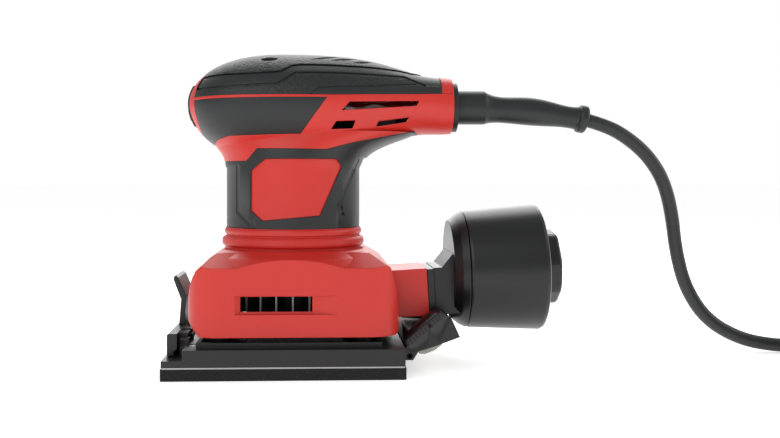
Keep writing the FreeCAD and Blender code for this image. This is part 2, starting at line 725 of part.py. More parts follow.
def canisterBarrel():
    front = barrelStart + 0.2
    outer = [(barrelFrontR - 1.2, front), (barrelFrontR - 0.4, front + 0.4), (barrelFrontR, front + 1.4),
             (barrelBackR, barrelEnd - 2.2), (barrelBackR - 0.6, barrelEnd - 0.7),
             (barrelBackR - 2.0, barrelEnd), (endCapR - 3, barrelEnd),
             (endCapR - 3, barrelEnd - barrelWall), (barrelBackR - 4.0, barrelEnd - barrelWall),
             (barrelFrontR - barrelWall, barrelStart + 9.0), (barrelFrontR - barrelWall, front)]
    return roundOnAxis(outer)


def canisterFilter():
    inner = 12.0
    return roundOnAxis([(inner, barrelStart + 6.1), (filterR, barrelStart + 6.1),
                        (filterR, barrelEnd - 9.0),
                        (0, barrelEnd - 9.0), (0, barrelEnd - 11.0), (inner, barrelEnd - 11.0)])


def canisterCap():
    innerR = endCapR - 3.3
    back = barrelEnd + endCapLength
    return roundOnAxis([(0, barrelEnd - 5.0), (innerR, barrelEnd - 5.0), (innerR, barrelEnd + 0.3),
                        (endCapR, barrelEnd + 0.3), (endCapR, back - 1.0), (endCapR - 1.0, back),
                        (0, back)])


# ---- switch and wiring ------------------------------------------------------------------------
def switchBezel():
    x, z = rockerPivot
    frame = headForm(-0.7).cut(headForm(2.2)).common(box(x - 14, x + 1.4, -8.8, 8.8, z - 10, z + 10))
    return frame.cut(box(x - 14, x + 8, -6.2, 6.2, z - 8.4, z + 8.4))


def switchRocker():
    x, z = rockerPivot
    paddle = headForm(-0.9).common(box(x - 14, x - 2.6, -5.9, 5.9, z - 7.0, z + 7.0))
    hub = rodY(2.6, -4.5, 4.5, x, z)
    stem = box(x - 4.0, x, -4.5, 4.5, z - 2.4, z + 2.4)
    return fuse([paddle, hub, stem]).cut(rodY(1.0 + runGap, -20, 20, x, z))


def switchBody():
    x, z = rockerPivot
    case = box(x - 1.6, x + switchDepth, -8.0, 8.0, z - 8.4, z + 8.4)
    case = case.cut(box(x - 4, x + 3.4, -6.2, 6.2, z - 7.7, z + 7.7))
    return case.fuse(rodY(1.0, -8.0, 8.0, x, z))


def capacitor():
    can = roundedBox(33.0, 52.0, -8.0, 8.0, capacitorBase + 0.1, capacitorBase + 10.0, 1.5)
    return can


def wireLoop(points, radius):
    spans = []
    for (a, b) in zip(points, points[1:]):
        start = Vector(*a)
        line = Vector(*b).sub(start)
        spans.append(Part.makeCylinder(radius, line.Length, start, line))
    for p in points[1:-1]:
        spans.append(Part.makeSphere(radius, Vector(*p)))
    return fuse(spans)


def leadWires():
    wires = []
    for y in (-4.0, 4.0):
        wires.append(wireLoop([(66.0, y, 128.5), (40.0, 2.2 * y, 131.5), (14.0, 2.6 * y, 132.0),
                               (-14.0, 2.2 * y, 131.0), (rockerPivot[0] + switchDepth, y, 128.5)], 1.1))
    return Part.makeCompound(wires)


def cordClamp():
    bar = box(66.0, 73.0, -9.0, 9.0, bootAxisZ - 6.6, bootAxisZ + 6.6)
    bar = bar.cut(rodX(cordR, 60, 80, 0, bootAxisZ))
    return bar


# ---- strain relief, cord and plug -------------------------------------------------------------
bootPath = [(99.5, bootAxisZ - 0.5, 7.3), (114.0, 125.6, 6.9), (130.0, 124.0, 6.4), (144.6, 121.9, 5.9)]


def bootRing(x, z, radius, slope):
    circle = Part.Circle(Vector(x, 0, z), Vector(math.cos(slope), 0, -math.sin(slope)), radius)
    return Part.Wire(circle.toShape())


def cordBoot():
    stem = rodX(bootCollarR, tailEnd - 5.0, 96.6, 0, bootAxisZ)
    flange = rodX(bootFlangeR, tailEnd + 0.2, tailEnd + 2.8, 0, bootAxisZ)
    rings = [bootRing(96.6, bootAxisZ, bootCollarR, 0.0)]
    slopes = (0.06, 0.09, 0.12, 0.17)
    rings += [bootRing(x, z, r, s) for (x, z, r), s in zip(bootPath, slopes)]
    taper = Part.makeLoft(rings, True, False)
    x, z, r = bootPath[-1]
    back = Vector(math.cos(0.2), 0, -math.sin(0.2))
    bead = Part.makeCylinder(7.1, 5.0, Vector(x, 0, z), back)
    bead = bead.makeFillet(1.6, bead.Edges[0:1] + bead.Edges[2:3])
    return fuse([stem, flange, taper, bead])


def turnAngle(a, b, c):
    return (b.sub(a)).getAngle(c.sub(b))


def softWire(points):
    """Straight runs joined by tangent arcs, each as large as its two runs allow."""
    nodes = [Vector(*p) for p in points]
    edges = []
    last = nodes[0]
    for before, here, after in zip(nodes, nodes[1:], nodes[2:]):
        runIn = here.sub(before)
        runOut = after.sub(here)
        turn = turnAngle(before, here, after)
        reach = 0.45 * min(runIn.Length, runOut.Length)
        inward = Vector(runIn).normalize()
        outward = Vector(runOut).normalize()
        start = here.sub(inward * reach)
        end = here.add(outward * reach)
        radius = reach / math.tan(0.5 * turn)
        print("arc radius %.1f mm, turn %.1f degrees" % (radius, math.degrees(turn)))
        toCentre = Vector(outward).sub(inward).normalize()
        middle = here.add(toCentre * (radius / math.cos(0.5 * turn) - radius))
        edges.append(Part.LineSegment(last, start).toShape())
        edges.append(Part.Arc(start, middle, end).toShape())
        last = end
    edges.append(Part.LineSegment(last, nodes[-1]).toShape())
    return Part.Wire(edges)


def cordTube():
    path = softWire(cordRoute)
    start = Vector(*cordRoute[0])
    aim = Vector(*cordRoute[1]).sub(start)
    section = Part.Wire(Part.Circle(start, aim, cordR).toShape())
    tube = path.makePipeShell([section], True, True)
    ideal = math.pi * cordR ** 2 * path.Length
    print("cord tube volume %.1f of %.1f, length %.1f" % (tube.Volume, ideal, path.Length))
    return tube


def coilHeight():
    return coilRows * 2 * cordR


def cordCoil():
    half = 0.5 * coilRows * 2 * cordR
    x, y = coilCentre
    return ring(coilMidR + half, coilMidR - half, 0.0, coilHeight(), x, y)


def plugPlace():
    """Back of the plug, which lies on the coil's far side and points along +X."""
    return coilCentre[0] - plugTurn, coilCentre[1] + coilMidR, coilHeight()


def plugBody():
    length, width, height = plugSize
    x, y, z = plugPlace()
    block = box(x, x + length, y - 0.5 * width, y + 0.5 * width, z, z + height)
    return block.makeFillet(3.0, [e for e in block.Edges if e.BoundBox.ZMin > z + 1])


def plugBlades():
    length, width, thick = bladeSize
    x, y, z = plugPlace()
    x += plugSize[0]
    mid = z + 0.5 * plugSize[2]
    blades = []
    for side in (-1, 1):
        at = y + side * 0.5 * bladeSpacing
        blades.append(box(x, x + length, at - 0.5 * thick, at + 0.5 * thick, mid - 0.5 * width, mid + 0.5 * width))
    return Part.makeCompound(blades)


# ---- all nodes --------------------------------------------------------------------------------
def buildNodes():
    full = bodyForm(0.0)
    inset = bodyForm(skinThick + skinGap)
    skin = bodyForm(skinThick)
    hollow = cavity()
    gripBody = full.cut(skin)
    columnSkin = gripBody.common(plateXZ(columnGripOutline, 60))
    badgeWindow = plateXZ(badgeOutline, 60)
    badge = bodyForm(0.5).cut(skin).common(badgeWindow)
    nodes = {
        "motor_housing": motorHousing(full, inset, hollow),
        "top_cover": topCover(inset, hollow),
        "top_grip": topGrip(headForm(skinThick)),
        "head_grip": gripBody.common(plateXZ(headGripOutline, 60)),
        "column_grip": columnSkin.cut(badgeWindow),
        "side_badges": badge,
        "base_housing": baseHousing(),
        "long_screws": longScrews(),
        "bearing_plate": bearingPlate(),
        "lower_bearing": ballBearing(lowerBearingR, shaftR + runGap, floorTop - 1),
        "upper_bearing": ballBearing(upperBearingR, shaftR + runGap, bracketBottom + 1.6),
        "upper_bracket": upperBracket(),
        "stator_core": statorCore(),
        "field_coils": fieldCoils(),
        "brush_holders": brushHolders(),
        "brushes": brushes(),
        "brush_springs": brushSprings(),
        "armature_shaft": shaft(),
        "armature_core": armatureCore(),
        "armature_windings": armatureWindings(),
        "commutator": commutator(),
        "cooling_fan": fan(),
        "eccentric": eccentric(),
        "eccentric_bearing": ring(lowerBearingR + 1.5, shaftR + runGap, bearingSeat, 17.0, -orbitRadius),
        "bearing_retainer": bearingRetainer(),
        "platen": platen(),
        "backing_plate": backingPlate(),
        "backing_screws": backingScrews(),
        "foam_pad": padLayer(0.0, padThick, 0.0),
        "flex_legs": legs(),
        "dust_seals": dustSeals(),
        "front_jaw": frontJaw(),
        "front_lever": frontLever(),
        "rear_lever": rearLever(),
        "rear_jaw_pad": rearPad(),
        "clamp_pins": clampPins(),
        "clamp_springs": clampSprings(),
        "canister_neck": canisterNeck(),
        "canister_barrel": canisterBarrel(),
        "canister_filter": canisterFilter(),
        "canister_cap": canisterCap(),
        "switch_bezel": switchBezel(),
        "switch_rocker": switchRocker(),
        "switch_body": switchBody(),
        "capacitor": capacitor(),
        "lead_wires": leadWires(),
        "cord_clamp": cordClamp(),
        "cord_boot": cordBoot(),
        "cord_tube": cordTube(),
        "cord_coil": cordCoil(),
        "plug_body": plugBody(),
        "plug_blades": plugBlades(),
    }
    return nodes


os.makedirs("parts", exist_ok=True)
for name, shape in buildNodes().items():
    solids = shape.Solids
    print("%-20s solids %d volume %.0f valid %s" % (name, len(solids), shape.Volume, shape.isValid()))
    shape.exportStep("parts/%s.step" % name)
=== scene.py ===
import math
import bmesh
import bpy
import numpy as np
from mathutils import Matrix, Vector


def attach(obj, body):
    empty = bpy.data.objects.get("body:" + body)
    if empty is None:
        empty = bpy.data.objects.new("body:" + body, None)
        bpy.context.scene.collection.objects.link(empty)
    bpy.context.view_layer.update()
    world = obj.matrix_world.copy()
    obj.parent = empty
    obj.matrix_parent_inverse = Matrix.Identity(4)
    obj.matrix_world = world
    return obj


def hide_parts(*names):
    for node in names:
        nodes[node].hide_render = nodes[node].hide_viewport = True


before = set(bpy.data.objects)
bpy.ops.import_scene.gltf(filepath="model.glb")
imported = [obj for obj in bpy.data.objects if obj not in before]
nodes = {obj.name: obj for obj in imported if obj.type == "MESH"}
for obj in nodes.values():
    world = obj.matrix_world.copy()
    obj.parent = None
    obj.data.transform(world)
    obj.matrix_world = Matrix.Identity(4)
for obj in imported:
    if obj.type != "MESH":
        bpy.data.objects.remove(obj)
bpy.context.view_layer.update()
mm = 0.001
print("frame loaded,", len(nodes), "nodes")


# camera, place in metres and turn in degrees
cameraLook = {"place": (0.01318, -0.48086, 0.0903), "turn": -2.2, "lens": 43.85,
              "shiftX": 0.0436, "shiftY": -0.05}


def makeCamera(look):
    data = bpy.data.cameras.new("camera")
    data.lens = look["lens"]
    data.sensor_width = 36.0
    data.shift_x = look["shiftX"]
    data.shift_y = look["shiftY"]
    data.clip_start = 0.01
    camera = bpy.data.objects.new("camera", data)
    camera.location = look["place"]
    camera.rotation_euler = (math.radians(90), 0, math.radians(look["turn"]))
    bpy.context.scene.collection.objects.link(camera)
    bpy.context.scene.camera = camera


makeCamera(cameraLook)


# mains cord in mm: down from its guard to the floor, then a coil with the plug on top
cordLook = {"diameter": 7.0, "length": 2.4, "coilCentre": (292.0, -40.0), "turnRadii": (47.2, 40.0, 32.8),
            "pointsPerTurn": 24, "layerRise": 7.1, "startAngle": 85.0, "stopShort": 16.0,
            "changeFrom": 0.72, "climbRadius": 40.0, "turnIn": (0.5, 0.4), "climb": (0.55, 0.38),
            "plugBack": (286.0, 0.0, 29.0), "plugReach": 3.0}
cordRoute = [
    (149.7, 0.0, 120.85), (160.5, 0.2, 117.9), (171.5, 0.8, 111.6), (182.0, 2.2, 103.0),
    (191.0, 4.5, 90.5), (196.5, 7.5, 73.5), (199.5, 10.0, 53.5), (205.5, 12.2, 33.5),
    (217.0, 12.6, 16.5), (234.0, 11.0, 6.8), (250.5, 9.2, 3.7), (266.0, 8.2, 3.5), (281.0, 7.5, 3.5)]


def blendTo(a, b, t):  # from a at 0 to b at 1, starting and ending gently
    t = min(1.0, max(0.0, t))
    return a + (b - a) * t * t * (3 - 2 * t)


def coilPoints(look):
    radii = list(look["turnRadii"])
    turns = radii + radii[::-1] + radii
    last = len(turns) - 1
    centreX, centreY = look["coilCentre"]
    plugX, plugY, plugZ = look["plugBack"]
    end = math.degrees(math.atan2(plugY - centreY, plugX - centreX))
    sweep = 360.0 * len(turns) + look["startAngle"] - end - look["stopShort"]
    count = look["pointsPerTurn"] * len(turns)
    points = []
    for i in range(1, count):
        done = i / (count - 1) * sweep / 360.0
        turn = min(last, int(done))
        part = done - turn
        change = (part - look["changeFrom"]) / (1 - look["changeFrom"])
        radius = blendTo(turns[turn], turns[min(turn + 1, last)], change)
        layer, place = divmod(turn, len(radii))
        rise = blendTo(layer, layer + 1, change) if place == len(radii) - 1 and turn < last else layer
        height = 0.5 * look["diameter"] + rise * look["layerRise"]
        if turn == last:  # the last stretch climbs over the coil to the plug
            start, share = look["turnIn"]
            radius = blendTo(turns[turn], look["climbRadius"], (part - start) / share)
            start, share = look["climb"]
            height = blendTo(height, plugZ, (part - start) / share)
        angle = math.radians(look["startAngle"] - done * 360.0)
        points.append((centreX + radius * math.cos(angle), centreY + radius * math.sin(angle), height))
    reach = look["plugReach"]
    return points + [(plugX - reach, plugY, plugZ), (plugX + reach, plugY, plugZ)]


def makeCord(look):
    curve = bpy.data.curves.new("mains_cord", "CURVE")
    curve.dimensions = "3D"
    curve.bevel_depth = 0.5 * look["diameter"] * mm
    curve.bevel_resolution = 5
    curve.resolution_u = 5
    curve.use_fill_caps = True
    spline = curve.splines.new("NURBS")
    points = cordRoute + coilPoints(look)
    spline.points.add(len(points) - 1)
    for point, place in zip(spline.points, points):
        point.co = (*(mm * c for c in place), 1.0)
    spline.order_u = 3
    spline.use_endpoint_u = True
    cord = bpy.data.objects.new("mains_cord", curve)
    bpy.context.scene.collection.objects.link(cord)
    return cord


cord = makeCord(cordLook)
print("camera and cord placed")


# a node's output: a sum written with it adds its Math nodes
class Value:
    def __init__(self, tree, socket):
        self.tree = tree
        self.socket = socket

    def math(self, kind, *others, flip=False):
        node = self.tree.nodes.new("ShaderNodeMath")
        node.operation = kind
        parts = [self, *others]
        if flip:
            parts[0], parts[1] = parts[1], parts[0]
        for slot, part in zip(node.inputs, parts):
            if isinstance(part, Value):
                self.tree.links.new(part.socket, slot)
            else:
                slot.default_value = part
        return Value(self.tree, node.outputs[0])

    def __add__(self, other):
        return self.math("ADD", other)

    def __radd__(self, other):
        return self.math("ADD", other, flip=True)

    def __sub__(self, other):
        return self.math("SUBTRACT", other)

    def __rsub__(self, other):
        return self.math("SUBTRACT", other, flip=True)

    def __mul__(self, other):
        return self.math("MULTIPLY", other)

    def __rmul__(self, other):
        return self.math("MULTIPLY", other, flip=True)

    def __truediv__(self, other):
        return self.math("DIVIDE", other)

    def clamped(self):
        return self.math("MAXIMUM", 0.0).math("MINIMUM", 1.0)

    def above(self, level, soft):
        return ((self - level) / soft + 0.5).clamped()


def addNode(tree, kind, out=0, feed=None, **settings):  # a list feeds one socket several links
    node = tree.nodes.new(kind)
    for key, value in settings.items():
        setattr(node, key, value)
    for key, value in (feed or {}).items():
        for part in value if isinstance(value, list) else [value]:
            if isinstance(part, Value):
                tree.links.new(part.socket, node.inputs[key])
            else:
                node.inputs[key].default_value = part
    return Value(tree, node.outputs[out])


class Finish:
    def __init__(self, name, **fixed):
        self.material = bpy.data.materials.new(name)
        self.material.use_nodes = True
        self.tree = self.material.node_tree
        self.shader = self.tree.nodes["Principled BSDF"]
        for key, value in fixed.items():
            self.shader.inputs[key.replace("_", " ")].default_value = value
        self.place = self.node("ShaderNodeTexCoord", out="Object")

    def node(self, kind, out=0, feed=None, **settings):
        return addNode(self.tree, kind, out, feed, **settings)

    def axis(self, name):
        return self.node("ShaderNodeSeparateXYZ", out=name, feed={0: self.place})

    def stretched(self, scale):
        return self.node("ShaderNodeMapping", feed={"Vector": self.place, "Scale": scale})

    def noise(self, size, detail=3.0, rough=0.55, place=None):
        return self.node("ShaderNodeTexNoise", feed={
            "Vector": place or self.place, "Scale": 1.0 / size, "Detail": detail, "Roughness": rough})

    def cells(self, size, feature="F1"):
        return self.node("ShaderNodeTexVoronoi", out="Distance", feature=feature, feed={
            "Vector": self.place, "Scale": 1.0 / size})

    def mix(self, factor, a, b):  # 6, 7 and the third output are the node's colour sockets
        low, high = (c if isinstance(c, Value) else (*c, 1.0) for c in (a, b))
        return self.node("ShaderNodeMix", out=2, data_type="RGBA", feed={0: factor, 6: low, 7: high})

    def softEdge(self, radius):
        return self.node("ShaderNodeBevel", samples=6, feed={"Radius": radius})

    def bump(self, height, depth, under=None):
        feed = {"Height": height, "Distance": depth, "Strength": 1.0}
        if under is not None:
            feed["Normal"] = under
        return self.node("ShaderNodeBump", feed=feed)

    def set(self, **values):
        for key, value in values.items():
            self.tree.links.new(value.socket, self.shader.inputs[key.replace("_", " ")])


# finishes, with sizes and depths in metres
def dimmed(colour, share):
    return tuple(c * share for c in colour)


def plastic(name, colour, darker, rough, grain, grainDepth, edge):
    finish = Finish(name)
    patches = finish.noise(0.03, detail=4.0)
    fine = finish.noise(grain, detail=2.0)
    finish.set(Base_Color=finish.mix(patches, darker, colour),
               Roughness=(patches - 0.5) * 0.05 + fine * 0.08 + rough,
               Normal=finish.bump(fine, grainDepth, finish.softEdge(edge)))
    return finish.material


def leathery(name, colour, rough, grain, grainDepth, edge):
    finish = Finish(name)
    pebbles = finish.cells(grain, "SMOOTH_F1")
    patches = finish.noise(0.02)
    height = pebbles * -1.0 + finish.noise(grain * 0.4, detail=2.0) * 0.25
    finish.set(Base_Color=finish.mix(pebbles.above(0.35, 0.4), colour, dimmed(colour, 0.55)),
               Roughness=patches * 0.1 + pebbles * 0.12 + rough,
               Normal=finish.bump(height, grainDepth, finish.softEdge(edge)))
    return finish.material


def metal(name, colour, rough, stretch, streak, edge, wear=0.12, metallic=1.0):
    finish = Finish(name, Metallic=metallic)
    lines = finish.noise(streak, 4.0, 0.7, finish.stretched(stretch))
    patches = finish.noise(0.012, detail=4.0)
    finish.set(Base_Color=finish.mix(patches, dimmed(colour, 1.0 - wear * 2.2), colour),
               Roughness=lines * wear + patches * wear + rough,
               Normal=finish.bump(lines, 0.00002, finish.softEdge(edge)))
    return finish.material


def foamFinish(name, colour, speckColour, pore, smallPore):
    finish = Finish(name)
    speck = finish.noise(0.0006, detail=2.0)
    height = finish.cells(pore).math("MINIMUM", finish.cells(smallPore) + 0.15)
    finish.set(Base_Color=finish.mix(speck.above(0.66, 0.1), colour, speckColour),
               Roughness=speck * 0.1 + 0.85, Normal=finish.bump(height, 0.0005))
    return finish.material


def woundWire(name, colour, pitch):  # wires one over another, a pitch apart
    finish = Finish(name, Metallic=0.85)
    wires = (finish.axis("Z") * (2 * math.pi / pitch)).math("SINE")
    patches = finish.noise(0.006)
    finish.set(Base_Color=finish.mix((wires * 0.5 + patches).clamped(), dimmed(colour, 0.35), colour),
               Roughness=patches * 0.15 + 0.28, Normal=finish.bump(wires, 0.0001))
    return finish.material


def stackedSheets(name, gapColour, colour, pitch):
    finish = Finish(name, Metallic=0.9)
    sheets = (finish.axis("Z") * (2 * math.pi / pitch)).math("SINE")
    patches = finish.noise(0.008, detail=4.0)
    finish.set(Base_Color=finish.mix(sheets.above(-0.6, 0.5), gapColour, colour),
               Roughness=patches * 0.25 + 0.38, Normal=finish.bump(sheets, 0.00012))
    return finish.material


def paperFinish(name, colour, dustColour):
    finish = Finish(name)
    fibres = finish.noise(0.0009, 5.0, 0.7)
    dust = finish.noise(0.009)
    finish.set(Base_Color=finish.mix(dust.above(0.5, 0.3), colour, dustColour),
               Roughness=fibres * 0.12 + 0.8, Normal=finish.bump(fibres, 0.00015))
    return finish.material


red = plastic("red_plastic", (0.66, 0.030, 0.020), (0.60, 0.024, 0.016),
              rough=0.36, grain=0.0006, grainDepth=0.000035, edge=0.0006)
darkPlastic = plastic("dark_plastic", (0.006, 0.0068, 0.0075), (0.0045, 0.005, 0.0056),
                      rough=0.3, grain=0.0008, grainDepth=0.00003, edge=0.0006)
innerPlastic = plastic("inner_plastic", (0.05, 0.05, 0.052), (0.035, 0.035, 0.037),
                       rough=0.45, grain=0.0006, grainDepth=0.00004, edge=0.0003)
smoothRubber = plastic("smooth_rubber", (0.015, 0.0172, 0.018), (0.011, 0.0125, 0.0132),
                       rough=0.4, grain=0.0005, grainDepth=0.00004, edge=0.0008)
grainRubber = leathery("grained_rubber", (0.017, 0.0188, 0.0195),
                       rough=0.38, grain=0.00125, grainDepth=0.00024, edge=0.0005)
paleRubber = plastic("pale_rubber", (0.52, 0.5, 0.45), (0.4, 0.385, 0.34),
                     rough=0.5, grain=0.0006, grainDepth=0.00005, edge=0.0004)
# near-black painted shade, for the grip's screw recesses and the dark sheet inside the head
paintedShadeBlack = plastic("recess_painted_shade", (0.004, 0.004, 0.0045), (0.003, 0.003, 0.0034),
                    rough=0.6, grain=0.0006, grainDepth=0.00003, edge=0.0003)
cordRubber = plastic("cord_rubber", (0.02, 0.021, 0.022), (0.014, 0.0145, 0.0155),
                     rough=0.44, grain=0.0007, grainDepth=0.00004, edge=0.0002)
castBlack = plastic("painted_casting", (0.0085, 0.009, 0.0095), (0.006, 0.0064, 0.0068),
                    rough=0.3, grain=0.0007, grainDepth=0.00005, edge=0.0004)
blackSteel = metal("blackened_steel", (0.03, 0.03, 0.031),
                   rough=0.34, stretch=(1.0, 0.1, 1.0), streak=0.0006, edge=0.0001, metallic=0.6)
steel = metal("drawn_steel", (0.56, 0.56, 0.55),
              rough=0.2, stretch=(1.0, 1.0, 0.08), streak=0.0006, edge=0.0001)
plateSteel = metal("plate_steel", (0.5, 0.5, 0.5),
                   rough=0.22, stretch=(0.05, 1.0, 1.0), streak=0.0008, edge=0.0002)
brass = metal("brass", (0.72, 0.52, 0.24),
              rough=0.18, stretch=(0.08, 1.0, 1.0), streak=0.0005, edge=0.0002)
commutatorCopper = metal("turned_copper", (0.78, 0.38, 0.24),
                         rough=0.22, stretch=(1.0, 1.0, 0.05), streak=0.0005, edge=0.0001)
carbon = metal("carbon_block", (0.05, 0.05, 0.052),
               rough=0.42, stretch=(1.0, 1.0, 1.0), streak=0.0007, edge=0.0001, metallic=0.3)
copperWire = woundWire("enamelled_wire", (0.66, 0.27, 0.11), pitch=0.0007)
laminations = stackedSheets("laminations", (0.05, 0.048, 0.045), (0.34, 0.33, 0.32), pitch=0.0011)
foam = foamFinish("foam_cells", (0.008, 0.008, 0.009), (0.035, 0.035, 0.036), pore=0.0011, smallPore=0.0005)
paper = paperFinish("filter_paper_pleats", (0.78, 0.73, 0.62), (0.55, 0.44, 0.3))

nodeFinishes = {
    "motor_housing": red, "top_cover": red, "base_housing": red, "side_badges": red,
    "top_grip": grainRubber, "head_grip": smoothRubber, "column_grip": smoothRubber,
    "cord_boot": smoothRubber, "flex_legs": smoothRubber,
    "canister_neck": darkPlastic, "canister_barrel": darkPlastic, "canister_cap": darkPlastic,
    "rear_lever": darkPlastic, "front_lever": darkPlastic, "switch_rocker": darkPlastic,
    "switch_bezel": darkPlastic, "switch_body": innerPlastic, "brush_holders": innerPlastic,
    "bearing_plate": innerPlastic, "upper_bracket": innerPlastic, "cooling_fan": innerPlastic,
    "cord_clamp": innerPlastic, "capacitor": innerPlastic, "lead_wires": cordRubber,
    "platen": castBlack, "front_jaw": castBlack, "backing_plate": plateSteel, "foam_pad": foam,
    "dust_seals": foam, "rear_jaw_pad": paleRubber, "clamp_pins": blackSteel, "clamp_springs": steel,
    "backing_screws": steel, "long_screws": steel, "armature_shaft": steel, "eccentric": steel,
    "lower_bearing": steel, "upper_bearing": steel, "eccentric_bearing": steel,
    "bearing_retainer": steel, "brush_springs": steel, "stator_core": laminations,
    "armature_core": laminations, "armature_windings": copperWire, "field_coils": copperWire,
    "commutator": commutatorCopper, "brushes": carbon, "canister_filter": paper,
    "plug_body": smoothRubber, "plug_blades": brass,
}


def paint(piece, material):
    slots = piece.data.materials
    if slots:
        for i in range(len(slots)):
            slots[i] = material
    else:
        slots.append(material)


for nodeName, material in nodeFinishes.items():
    paint(nodes[nodeName], material)
paint(cord, cordRubber)
print("finishes made")


# meshes are written in mm, and made in metres
def addPiece(name, verts, faces):
    mesh = bpy.data.meshes.new(name)
    mesh.from_pydata([tuple(mm * c for c in v) for v in verts], [], faces)
    mesh.update()
    piece = bpy.data.objects.new(name, mesh)
    bpy.context.scene.collection.objects.link(piece)
    return piece


def settle(piece):  # apply what the modifiers do, then drop them
    shape = piece.evaluated_get(bpy.context.evaluated_depsgraph_get())
    mesh = bpy.data.meshes.new_from_object(shape)
    mesh.name = piece.name
    piece.modifiers.clear()
    piece.data = mesh
    return piece


def discard(*pieces):
    for piece in pieces:
        bpy.data.objects.remove(piece)


def combine(piece, kind, *tools):
    for tool in tools:
        modifier = piece.modifiers.new("combine", "BOOLEAN")
        modifier.operation = kind
        modifier.solver = "MANIFOLD"
        modifier.object = tool
    settle(piece)
    discard(*tools)
    return piece


def smoothed(piece, angle=30.0):
    piece.data.shade_smooth()
    piece.data.set_sharp_from_angle(angle=math.radians(angle))
    return piece


def turnOut(piece):  # faces outward
    work = bmesh.new()
    work.from_mesh(piece.data)
    bmesh.ops.recalc_face_normals(work, faces=work.faces)
    work.to_mesh(piece.data)
    work.free()
    return piece


def circle(radius, count):
    return [(radius * math.cos(2 * math.pi * j / count), radius * math.sin(2 * math.pi * j / count))
            for j in range(count)]


def rings(name, rows):  # closed skin over rings of points that all have the same count
    count = len(rows[0])
    verts = [v for row in rows for v in row]
    faces = []
    for i in range(len(rows) - 1):
        for j in range(count):
            k = (j + 1) % count
            faces.append((i * count + j, i * count + k, (i + 1) * count + k, (i + 1) * count + j))
    for row, first, flip in ((rows[0], 0, True), (rows[-1], (len(rows) - 1) * count, False)):
        verts.append(tuple(sum(v[c] for v in row) / count for c in range(3)))
        for j in range(count):
            a, b = first + j, first + (j + 1) % count
            faces.append((b, a, len(verts) - 1) if flip else (a, b, len(verts) - 1))
    return turnOut(addPiece(name, verts, faces))


def prism(name, outline, low, high, along="Y"):  # an outline in XZ drawn out along Y, or in XY along Z
    count = len(outline)
    verts = [(a, c, b) if along == "Y" else (a, b, c) for c in (low, high) for a, b in outline]
    faces = [tuple(range(count)), tuple(range(2 * count - 1, count - 1, -1))]
    faces += [(i, (i + 1) % count, count + (i + 1) % count, count + i) for i in range(count)]
    return turnOut(addPiece(name, verts, faces))


def strip(points, width):  # outline of a line of that width
    line = [Vector(p) for p in points]
    left, right = [], []
    for i, here in enumerate(line):
        before = (here - line[i - 1]).normalized() if i else (line[1] - here).normalized()
        after = (line[i + 1] - here).normalized() if i < len(line) - 1 else before
        side = Vector((-(before + after).y, (before + after).x)).normalized()
        reach = 0.5 * width / max(0.5, side.dot(Vector((-before.y, before.x))))
        left.append(tuple(here + side * reach))
        right.append(tuple(here - side * reach))
    return left + right[::-1]


def copyOf(node):  # a CAD piece's mesh, joined into one skin
    work = bmesh.new()
    work.from_mesh(nodes[node].data)
    bmesh.ops.remove_doubles(work, verts=work.verts, dist=2e-6)
    mesh = bpy.data.meshes.new(node + "_copy")
    work.to_mesh(mesh)
    work.free()
    piece = bpy.data.objects.new(node + "_copy", mesh)
    bpy.context.scene.collection.objects.link(piece)
    return piece


def settlePiece(piece, body, slotName, *stoodFor):
    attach(piece, body)
    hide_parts(*stoodFor)


# palm grip: a skin cut from the head's outer form
headLook = {"noseStart": -10.0, "noseLength": 41.5, "rise": 24.8, "drop": 28.5, "half": 38.0,
            "middle": 128.0, "noseAngles": (82, 72, 60, 46, 30, 14), "profilePower": 2.05,
            "planPower": 2.5, "tailMid": 45.0, "rows": 190, "around": 200, "skin": 1.3,
            "stepDepth": 0.45, "grooveWidth": 1.15, "grooveDepth": 0.95, "thinWidth": 0.7,
            "thinDepth": 0.4, "edgeWidth": 0.6, "edgeDepth": 0.75, "slashWidth": 2.7, "slashDepth": 0.8,
            "recessPlace": (-11.0, 21.6), "recessHalf": (3.9, 2.5), "recessMargin": 0.1, "recessDepth": 1.2,
            "recessAbove": 142.0, "cutFrom": 135.0, "beyond": 60.0,
            "rear": [(2.0, 25.1, 28.5, 37.8), (20.0, 24.5, 27.5, 35.2), (37.0, 22.5, 24.5, 29.6),
                     (52.0, 18.7, 18.0, 23.6), (64.0, 15.5, 14.9, 19.2), (73.6, 14.2, 14.7, 16.8),
                     (79.5, 13.6, 14.4, 15.8)]}
# outlines and lines in XZ; the slashes are in XY
topZone = [(-47.0, 129.85), (-45.6, 135.8), (-42.9, 141.3), (-40.0, 146.3), (-34.0, 160.0),
           (73.6, 160.0), (73.6, 132.86), (20.0, 130.56)]
palmEdge = [(-46.0, 139.6), (-33.9, 140.4), (-20.5, 140.6), (-9.0, 141.3), (-4.6, 141.9), (-0.5, 144.6),
            (4.4, 145.5), (15.1, 145.5), (34.9, 145.1), (43.1, 144.9), (52.0, 144.3), (58.0, 143.4)]
grooveLine = [(-45.6, 133.8), (-35.8, 134.0), (-27.9, 134.3), (-16.4, 134.9), (-6.4, 135.4), (-3.1, 137.3),
              (1.9, 140.9), (15.1, 141.1), (23.8, 141.1), (34.7, 141.0), (44.8, 140.8), (54.6, 140.7),
              (59.2, 138.8), (65.5, 136.5)]
thinLine = [(9.0, 130.4), (10.6, 132.1), (13.1, 133.9), (23.7, 134.5), (35.5, 135.1), (48.6, 136.2),
            (62.8, 137.3)]
slashes = [((8.5, 21.6), (23.0, 12.3)), ((18.4, 20.6), (31.5, 11.8)), ((29.2, 19.2), (39.5, 11.2))]


